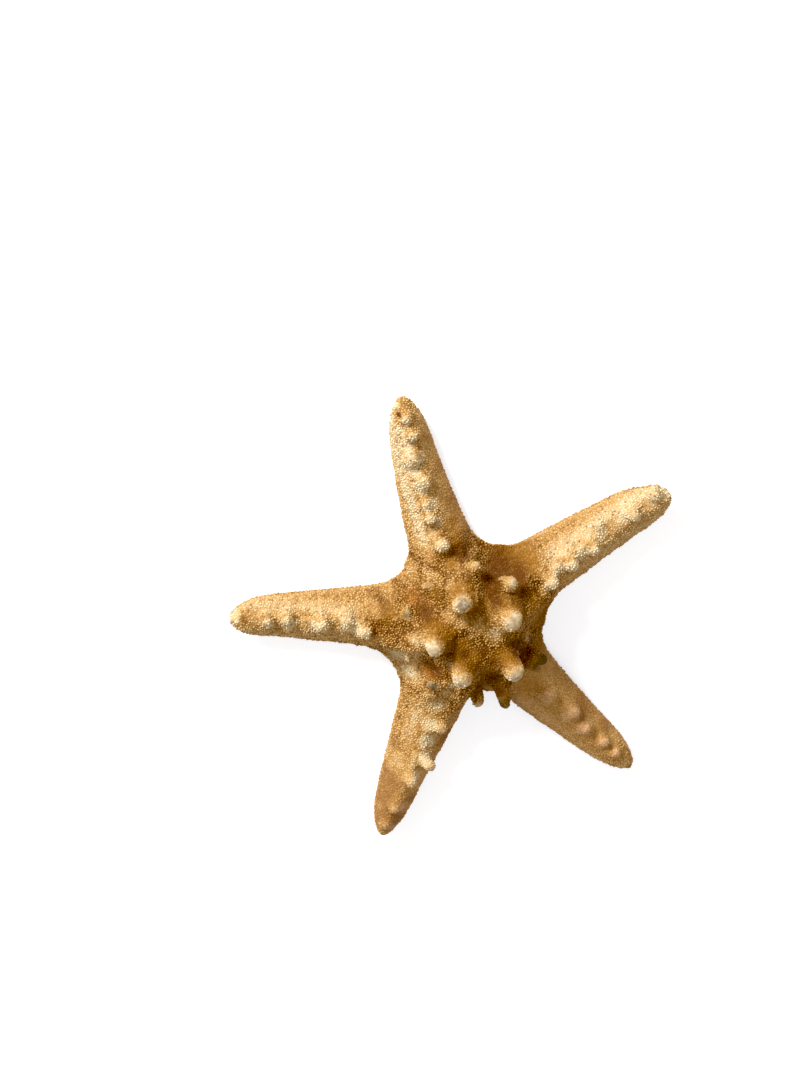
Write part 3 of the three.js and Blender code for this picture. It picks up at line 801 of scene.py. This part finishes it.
def rings_round(directions, sides):
    """A ring of unit vectors across each direction, turned at random about it."""
    helper = np.where(np.abs(directions[:, 2:3]) < 0.8, [[0, 0, 1.0]], [[1.0, 0, 0]])
    a = np.cross(directions, helper)
    a /= np.linalg.norm(a, axis=1)[:, None]
    b = np.cross(directions, a)
    turn = rng.uniform(0, 2 * np.pi, len(directions))[:, None]
    a, b = a * np.cos(turn) + b * np.sin(turn), b * np.cos(turn) - a * np.sin(turn)
    angle = np.linspace(0, 2 * np.pi, sides, endpoint=False)[None, :, None]
    return np.cos(angle) * a[:, None] + np.sin(angle) * b[:, None]


def studs(name, rings, tops, material):
    """One mesh of many shapes, each a stack of rings closed by a point, and how many points each has."""
    n, sides = rings[0].shape[:2]
    points = np.concatenate([*rings, tops[:, None]], 1)
    per = points.shape[1]
    i = np.arange(sides)
    j = (i + 1) % sides
    faces = []
    for low in range(0, per - 1 - sides, sides):
        high = low + sides
        faces.append(np.stack([low + i, low + j, high + j], -1))
        faces.append(np.stack([low + i, high + j, high + i], -1))
    last = per - 1 - sides
    faces.append(np.stack([last + i, last + j, np.full(sides, per - 1)], -1))
    faces = np.concatenate(faces)
    faces = (faces[None] + (np.arange(n) * per)[:, None, None]).reshape(-1, 3)
    piece = make_mesh(name, points.reshape(-1, 3), faces)
    piece.data.materials.append(material)
    return piece, per


def grains(name, place, normal, radius, height, material):
    """One mesh of small domes standing on the skin."""
    ring = rings_round(normal, GRAIN_SIDES)
    ring = ring * rng.uniform(0.86, 1.14, (len(place), GRAIN_SIDES, 1))
    wide, rise = GRAIN_RING
    down = normal[:, None] * (GRAIN_SINK * height)[:, None, None]
    low = place[:, None] + ring * radius[:, None, None] - down
    up = normal[:, None] * (rise * height)[:, None, None]
    high = place[:, None] + ring * (wide * radius)[:, None, None] + up
    return studs(name, [low, high], place + normal * height[:, None], material)


# Materials


class Nodes:
    """A short way to write a material's nodes."""

    def __init__(self, name):
        self.material = bpy.data.materials.new(name)
        self.material.use_nodes = True
        self.tree = self.material.node_tree
        self.shader = self.tree.nodes["Principled BSDF"]
        place = self.node("ShaderNodeTexCoord", {}).outputs["Object"]
        scaled = self.node("ShaderNodeVectorMath", {0: place, "Scale": 1 / MM}, operation="SCALE")
        self.mm = scaled.outputs[0]

    def link(self, value, socket):
        if isinstance(value, bpy.types.NodeSocket):
            self.tree.links.new(value, socket)
        else:
            socket.default_value = value

    def node(self, kind, inputs, **settings):
        """A new node with its inputs, by name or number, set or linked."""
        node = self.tree.nodes.new(kind)
        for key, value in settings.items():
            setattr(node, key, value)
        for key, value in inputs.items():
            self.link(value, node.inputs[key])
        return node

    def value(self, name):
        return self.node("ShaderNodeAttribute", {}, attribute_name=name).outputs["Fac"]

    def noise(self, size, detail=3, roughness=0.55, distortion=0.0):
        inputs = dict(Vector=self.mm, Scale=1 / size, Detail=detail, Roughness=roughness)
        return self.node("ShaderNodeTexNoise", dict(inputs, Distortion=distortion)).outputs["Fac"]

    def cells(self, size):
        return self.node("ShaderNodeTexVoronoi", dict(Vector=self.mm, Scale=1 / size)).outputs["Distance"]

    def remap(self, value, lo, hi, to_lo=0.0, to_hi=1.0):
        inputs = {"Value": value, "From Min": lo, "From Max": hi, "To Min": to_lo, "To Max": to_hi}
        return self.node("ShaderNodeMapRange", inputs, interpolation_type="SMOOTHSTEP").outputs["Result"]

    def math(self, operation, a, b):
        return self.node("ShaderNodeMath", {0: a, 1: b}, operation=operation).outputs[0]

    def times(self, a, b):
        return self.math("MULTIPLY", a, b)

    def mix(self, share, a, b):
        return self.node("ShaderNodeMix", {"Factor": share, 6: a, 7: b}, data_type="RGBA").outputs[2]

    def bump(self, height, distance, normal=None):
        inputs = dict(Height=height, Distance=distance * MM, Strength=1.0)
        if normal is not None:
            inputs["Normal"] = normal
        return self.node("ShaderNodeBump", inputs).outputs["Normal"]

    def finished(self, out, rough, normal):
        """The material, with its colour, roughness and bumps in place."""
        self.link(out, self.shader.inputs["Base Color"])
        self.link(rough, self.shader.inputs["Roughness"])
        self.link(normal, self.shader.inputs["Normal"])
        self.shader.inputs["Specular IOR Level"].default_value = SHINE
        return self.material


SHINE = 0.3
EXPOSURE = 1.5  # how much brighter than its own colour a level surface shows in this scene's light


def colour(r, g, b):
    """The surface colour that shows on screen as this one, given from 0 to 255."""
    def light(c):
        c /= 255
        return (c / 12.92 if c <= 0.04045 else ((c + 0.055) / 1.055) ** 2.4) / EXPOSURE
    return (light(r), light(g), light(b), 1.0)


# Colours by kind of place: of the skin between the grains, and of the grains. rust, deep, golden and brown
# are mostly painted shade, brown also the streaks of calm places, and the olive brown is painted shade on the
# horns.
COLOURS = dict(
    base=((84, 46, 6), (204, 150, 72)),
    other=((106, 64, 16), (222, 172, 94)),
    calm=((208, 158, 90), (220, 172, 106)),
    under=((172, 128, 76), (208, 168, 114)),
    rust=((150, 90, 28), (200, 138, 64)),
    deep=((96, 52, 2), (118, 70, 8)),
    pale=((226, 194, 142), (255, 244, 216)),
    olive_painted_shade=((104, 78, 24), (138, 108, 46)),
    brown=((156, 110, 60), (180, 132, 80)),
    golden=((146, 98, 26), (174, 122, 42)),
    pink=((210, 164, 116), (236, 196, 154)),
    cream=((190, 142, 78), (240, 204, 144)),
)
SKIN_COLOURS = {kind: colour(*pair[0]) for kind, pair in COLOURS.items()}
GRAIN_COLOURS = {kind: colour(*pair[1]) for kind, pair in COLOURS.items()}
CAP_PALE = colour(244, 230, 198)
CAP_WARM = colour(218, 190, 152)
CAP_GREY = colour(150, 130, 106)
CAP_TAN = colour(238, 200, 156)
CAP_PAINTED_SHADE = colour(112, 88, 44)
PIT = colour(96, 66, 36)
SPECK = colour(126, 78, 28)


def broken(m, name, mottle, lo=0.05, hi=1.0):
    """A kind of place with an uneven edge."""
    uneven = m.times(m.math("SUBTRACT", mottle, 0.5), 0.9)
    return m.remap(m.math("ADD", m.value(name), uneven), lo, hi)


def place_colour(m, shades):
    """The colour of the skin or its grains, by kind of place."""
    mottle = m.noise(1.1, 4, 0.7)
    out = m.mix(m.remap(m.noise(4.0, 5, 0.6), 0.4, 0.6), shades["base"], shades["other"])
    streak = m.times(m.remap(m.noise(2.6, 6, 0.75, 1.6), 0.38, 0.62), 0.6)
    shades = dict(shades, calm=m.mix(streak, shades["calm"], shades["brown"]))
    # the deep, golden, brown, rust and olive kinds mixed in here are mostly painted shade
    for kind in ("calm", "golden", "brown", "rust", "deep"):
        out = m.mix(broken(m, kind, mottle), out, shades[kind])
    out = m.mix(broken(m, "pale", mottle, 0.0, 0.55), out, shades["cream"])
    out = m.mix(broken(m, "pale", mottle, 0.45, 1.15), out, shades["pale"])
    for kind in ("pink", "olive_painted_shade", "under"):
        out = m.mix(broken(m, kind, mottle), out, shades[kind])
    return out


def cap_colour(m):
    """The bald end of a horn: chalky, greyer or browner on some, with small dark pits."""
    out = m.mix(m.remap(m.noise(1.0, 3, 0.6), 0.42, 0.6), CAP_PALE, CAP_WARM)
    grey = m.times(m.value("grey"), m.remap(m.noise(0.9, 4, 0.7), 0.35, 0.6, 0.35, 1.0))
    out = m.mix(grey, out, CAP_GREY)
    out = m.mix(m.value("tan"), out, CAP_TAN)
    # a horn's olive brown is painted shade over its cap too
    out = m.mix(m.value("olive_painted_shade"), out, CAP_PAINTED_SHADE)
    pit = m.remap(m.cells(0.62), 0.12, 0.26, 1.0, 0.0)
    pit = m.times(pit, m.remap(m.noise(1.3, 2), 0.44, 0.56, 0.0, 0.9))
    return m.mix(pit, out, PIT), pit


def skin_material():
    m = Nodes("starfish_skin")
    cap, pit = cap_colour(m)
    body = place_colour(m, SKIN_COLOURS)
    speck = m.remap(m.noise(0.34, 3, 0.7), 0.46, 0.64)
    share = m.remap(m.value("calm"), 0.0, 1.0, 0.25, 0.7)
    body = m.mix(m.times(speck, share), body, place_colour(m, GRAIN_COLOURS))
    out = m.mix(m.value("bald"), body, cap)
    rough = m.remap(m.noise(0.8, 3), 0.3, 0.7, 0.7, 0.9)
    fine = m.bump(m.noise(0.3, 4, 0.7), 0.16)
    hole = m.math("SUBTRACT", 1.0, m.times(pit, m.value("bald")))
    return m.finished(out, rough, m.bump(hole, 0.14, fine))


def grain_material():
    """Every grain has its own tone, and clumps share one. On calm and deep places they differ less."""
    m = Nodes("starfish_grains")
    out = place_colour(m, GRAIN_COLOURS)
    between = place_colour(m, SKIN_COLOURS)
    quiet = m.math("MAXIMUM", m.value("calm"), m.value("deep"))
    strength = m.remap(quiet, 0.0, 1.0, 1.0, 0.3)
    clump = m.times(m.math("SUBTRACT", m.noise(0.9, 4, 0.7), 0.5), 2.0)
    tone = m.math("ADD", m.times(m.value("tone"), 0.8), clump)
    darker = m.times(m.remap(tone, -0.4, 0.35, 0.95, 0.0), strength)
    out = m.mix(darker, out, between)
    lighter = m.times(m.remap(tone, 0.5, 1.1, 0.0, 0.35), strength)
    out = m.mix(lighter, out, GRAIN_COLOURS["cream"])
    dark = m.times(m.remap(m.value("tone"), 0.1, 0.2, 0.65, 0.0), strength)
    out = m.mix(dark, out, SPECK)
    rough = m.remap(m.noise(0.6, 2), 0.3, 0.7, 0.6, 0.85)
    return m.finished(out, rough, m.bump(m.noise(0.15, 2, 0.6), 0.04))


def spine_material():
    m = Nodes("starfish_spines")
    out = m.mix(m.remap(m.noise(0.9, 3), 0.35, 0.65), colour(226, 194, 146), colour(196, 152, 98))
    out = m.mix(m.remap(m.value("tone"), 0.0, 0.6, 0.5, 0.0), out, colour(158, 112, 60))
    rough = m.remap(m.noise(0.5, 2), 0.3, 0.7, 0.6, 0.85)
    return m.finished(out, rough, m.bump(m.noise(0.2, 3, 0.6), 0.05))


def floor_material():
    """A white table that is lit a little from within."""
    m = Nodes("floor")
    shader = m.shader.inputs
    shader["Base Color"].default_value = (0.9, 0.9, 0.9, 1)
    shader["Emission Color"].default_value = (0.74, 0.84, 1, 1)
    shader["Emission Strength"].default_value = 0.55
    shader["Roughness"].default_value = 0.9
    return m.material


# The kinds of place that the skin and every grain on it are told about, as numbers from 0 to 1 or so
FIELDS = ("pale", "deep", "rust", "brown", "golden", "pink", "calm", "under", "olive_painted_shade")


def add_piece(piece, fields):
    """Gives a piece its fields, for its material to read, and its place in the part."""
    for name, values in fields.items():
        layer = piece.data.attributes.new(name, "FLOAT", "POINT")
        layer.data.foreach_set("value", np.asarray(values, np.float32))
    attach(piece, "root")


def add_grains(points, faces, carried, wanted, spacing, radius, material, names):
    """Grains over part of the skin, split by direction from the mouth into one piece for each name."""
    place, mixed = scattered(points, faces, carried, wanted, spacing)
    kept = rng.random(len(place)) > GRAINS_MISSING
    place = place[kept]
    mixed = {kind: value[kept] for kind, value in mixed.items()}
    normal = mixed["normal"] / np.linalg.norm(mixed["normal"], axis=1)[:, None]
    n = len(place)
    radii = radius * rng.uniform(*GRAIN_SPREAD, n)
    heights = GRAIN_HEIGHT * rng.uniform(0.6, 1.25, n) * (1 - 0.6 * mixed["calm"])
    tone = rng.random(n)
    turned = (np.arctan2(place[:, 1], place[:, 0]) + np.pi) / (2 * np.pi)
    sector = np.minimum((turned * len(names)).astype(int), len(names) - 1)
    for k, name in enumerate(names):
        s = sector == k
        details = {kind: mixed[kind][s] for kind in FIELDS}
        details["tone"] = tone[s]
        piece, per = grains(name, place[s], normal[s], radii[s], heights[s], material)
        add_piece(piece, {kind: np.repeat(value, per) for kind, value in details.items()})


def spines(name, rows, material):
    """One mesh of blunt spines, each given as (root, direction, length, radius)."""
    roots, towards, lengths, radii = (np.array(column) for column in zip(*rows))
    ring = rings_round(towards, SPINE_SIDES)
    rings = []
    for share, wide in SPINE_OUTLINE:
        middle = roots + towards * (share * lengths)[:, None]
        rings.append(middle[:, None] + ring * (wide * radii)[:, None, None])
    piece, per = studs(name, rings, roots + towards * lengths[:, None], material)
    add_piece(piece, dict(tone=np.repeat(rng.random(len(roots)), per)))


SPINE_SIDES = 6
SPINE_OUTLINE = ((0.0, 1.0), (0.6, 0.92), (0.9, 0.6))  # shares of the length and of the radius
SPINE_STEP = 0.85  # along the groove
SPINE_Z = 0.27  # the spines lie this high, level with the sole
JAW_SPINES = 5
JAW_SPINE_Z = 0.34
JAW_SPINE_RADIUS = 0.27
GROOVE_START = 4.2
GROOVE_STOP = 5.0  # before the tip


def groove_spines(material):
    """Two rows of small spines on each side of every groove: one lies over it, the other beside it."""
    rows = []
    for arm in ARMS:
        for u in np.arange(GROOVE_START, arm["length"] - GROOVE_STOP, SPINE_STEP):
            half = lerp(*GROOVE_HALF_WIDTHS, u / arm["length"])
            for side in (1, -1):
                for off, length, radius in ((0.15, 0.62 * half + 0.15, 0.17), (0.75, 0.75, 0.22)):
                    along = u + rng.uniform(-0.12, 0.12) + off / 2
                    root = on_arm(arm, along, side * (half + off))
                    turn = rng.uniform(-0.25, 0.25) + 0.2
                    back = polar(arm["heading"] + 180, math.sin(turn))
                    across = polar(arm["heading"] - 90 * side, math.cos(turn))
                    z = SPINE_Z + tip_lift(arm, u)
                    length *= rng.uniform(0.9, 1.1)
                    rows.append(((*root, z), (*(back + across), 0), length, radius))
    spines("groove_spines", rows, material)


def jaw_spines(material):
    """The spines of the five jaws between the grooves, which point into the mouth."""
    rows = []
    for direction, _ in WEBS:
        for k in range(JAW_SPINES):
            aside = (k - (JAW_SPINES - 1) / 2) * 0.52
            root = polar(direction, 3.4) + polar(direction + 90, aside)
            aim = polar(direction + 180 + 9 * aside, 1.0)
            rows.append(((*root, JAW_SPINE_Z), (*aim, 0), 1.9 - 0.3 * abs(aside), JAW_SPINE_RADIUS))
    spines("jaw_spines", rows, material)


def starfish():
    points, faces, f, upper, in_groove = skin_points()
    skin = make_mesh("starfish_skin", points, faces)
    skin.data.materials.append(skin_material())
    add_piece(skin, {name: f[name] for name in (*FIELDS, "bald", "grey", "tan")})
    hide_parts("starfish")

    carried = {name: f[name] for name in FIELDS}
    carried["normal"] = normals_of(points, faces)
    material = grain_material()
    bare = smooth(f["bald"], 0.25, 0.6)
    top = [f"grains_{k + 1}" for k in range(5)]
    wanted = smooth(upper, 0.4, 0.6) * (1 - bare)
    add_grains(points, faces, carried, wanted, GRAIN_SPACING, GRAIN_RADIUS, material, top)
    wanted = smooth(upper, 0.6, 0.4) * (in_groove == 0)
    sole = ["sole_grains"]
    add_grains(points, faces, carried, wanted, SOLE_GRAIN_SPACING, SOLE_GRAIN_RADIUS, material, sole)
    bony = spine_material()
    groove_spines(bony)
    jaw_spines(bony)


# Camera: what the photo shows, as angles and sizes
PHOTO_W, PHOTO_H = 800, 1067
MOUTH_PX = (469.5, 616.0)  # where the middle of the body is in the photo, at the height below
MOUTH_PX_Z = 4.0
PX_PER_MM = 4.29
TILT = math.radians(23.0)  # between the line of sight and the starfish's upright
ROLL = math.radians(15.4)
DISTANCE = 600.0


def camera_axes():
    forward = np.array((0, -math.sin(TILT), -math.cos(TILT)))
    level = np.array((0, math.cos(TILT), -math.sin(TILT)))
    across = np.array((1.0, 0, 0))
    up = math.cos(ROLL) * level + math.sin(ROLL) * across
    right = math.cos(ROLL) * across - math.sin(ROLL) * level
    return right, up, forward


def add_camera():
    right, up, forward = camera_axes()
    dx = (MOUTH_PX[0] - PHOTO_W / 2) / PX_PER_MM
    dy = (MOUTH_PX[1] - PHOTO_H / 2) / PX_PER_MM
    aim = np.array((0, 0, MOUTH_PX_Z)) - dx * right + dy * up
    eye = (aim - DISTANCE * forward + MOUTH) * MM
    data = bpy.data.cameras.new("camera")
    data.sensor_fit = "VERTICAL"
    data.sensor_height = 36
    data.lens = data.sensor_height * PX_PER_MM * DISTANCE / PHOTO_H
    data.clip_start = 0.01
    camera = add_object("camera", data)
    turn = Matrix((right, up, -forward)).transposed().to_4x4()
    camera.matrix_world = Matrix.Translation(eye) @ turn
    bpy.context.scene.camera = camera


def add_area(name, towards, distance, size, power, tint=(1, 1, 1)):
    """A square light that looks at the middle of the starfish from that direction."""
    data = bpy.data.lights.new(name, "AREA")
    data.size = size
    data.energy = power
    data.color = tint
    light = add_object(name, data)
    towards = Vector(towards).normalized()
    light.location = towards * distance
    light.rotation_euler = towards.to_track_quat("Z", "Y").to_euler()


KEY_OFF_AXIS = math.radians(42)  # from the line of sight towards the photo's upper left


def add_lights():
    right, up, forward = camera_axes()
    sideways = (up - right) / math.sqrt(2)
    key = -forward * math.cos(KEY_OFF_AXIS) + sideways * math.sin(KEY_OFF_AXIS)
    add_area("key", key, 1.1, 0.28, 19.0, (1, 0.98, 0.93))
    add_area("overhead", (0.2, -0.2, 1), 1.2, 1.2, 2)
    world = bpy.data.worlds.new("studio")
    world.use_nodes = True
    background = world.node_tree.nodes["Background"].inputs
    background["Color"].default_value = (1, 0.88, 0.7, 1)
    background["Strength"].default_value = 0.58
    bpy.context.scene.world = world


def add_floor():
    mesh = bpy.data.meshes.new("floor")
    s = 3.0
    mesh.from_pydata([(-s, -s, 0), (s, -s, 0), (s, s, 0), (-s, s, 0)], [], [(0, 1, 2, 3)])
    mesh.materials.append(floor_material())
    floor = add_object("floor", mesh)


BLACK_LEVEL = 0.02  # light up to this level shows as black, as in the photo's firm contrast


def set_film():
    view = bpy.context.scene.view_settings
    view.view_transform = "Standard"
    view.use_curve_mapping = True
    view.curve_mapping.black_level = (BLACK_LEVEL,) * 3
    view.curve_mapping.update()


set_film()
add_camera()
add_lights()
add_floor()
starfish()
